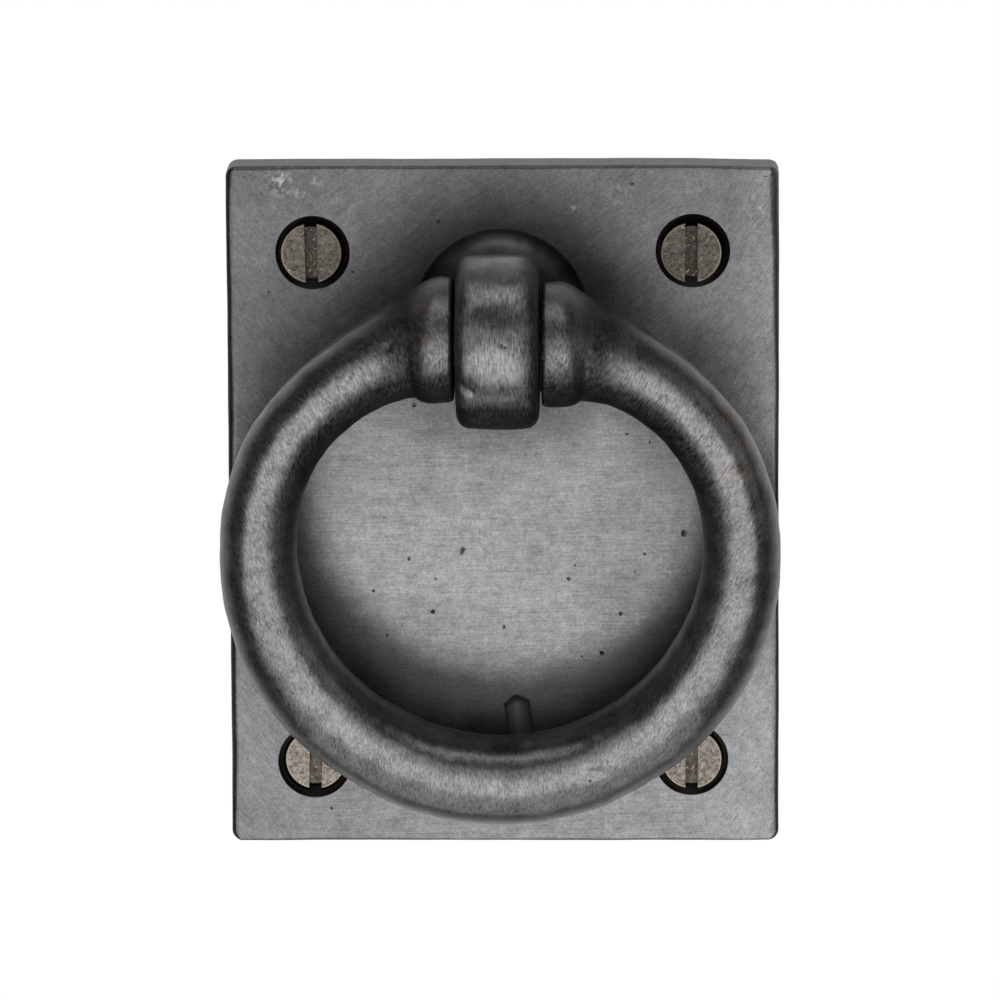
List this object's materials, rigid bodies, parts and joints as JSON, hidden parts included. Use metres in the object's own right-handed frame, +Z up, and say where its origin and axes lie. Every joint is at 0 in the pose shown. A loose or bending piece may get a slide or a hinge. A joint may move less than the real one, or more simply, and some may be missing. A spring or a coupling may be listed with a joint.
{
  "type": "ring drop pull",
  "caption": "Ring drop pull in dark cast bronze: a ring hinged on a round post, on a rectangular plate with slotted screws and a small strike.",
  "frame": {"origin": "centre of the plate's back face, on the door's surface", "axes": "+Z up, +X to the right as seen from the front, +Y back into the door"},
  "size_m": [0.0512, 0.0421, 0.0636],
  "materials": {
    "plate_bronze": "brushed, dark patina",
    "ring_bronze": "brushed, dark patina with copper wear",
    "strike_bronze": "brushed, dark patina",
    "screw_brass": "aged, scratched",
    "pin_steel": "ground"
  },
  "bodies": {
    "plate": {"backplate": "plate_bronze", "pivot_post": "ring_bronze", "post_screw": "screw_brass", "hinge_pin": "pin_steel", "strike": "strike_bronze", "plate_screws": "screw_brass"},
    "ring": {"ring": "ring_bronze"}
  },
  "joints": [
    {"name": "ring_swing", "type": "hinge", "parent": "plate", "child": "ring", "pos_m": [0, -0.01936, 0.0179], "axis": [-1, 0, 0], "range_deg": [0, 210]}
  ]
}
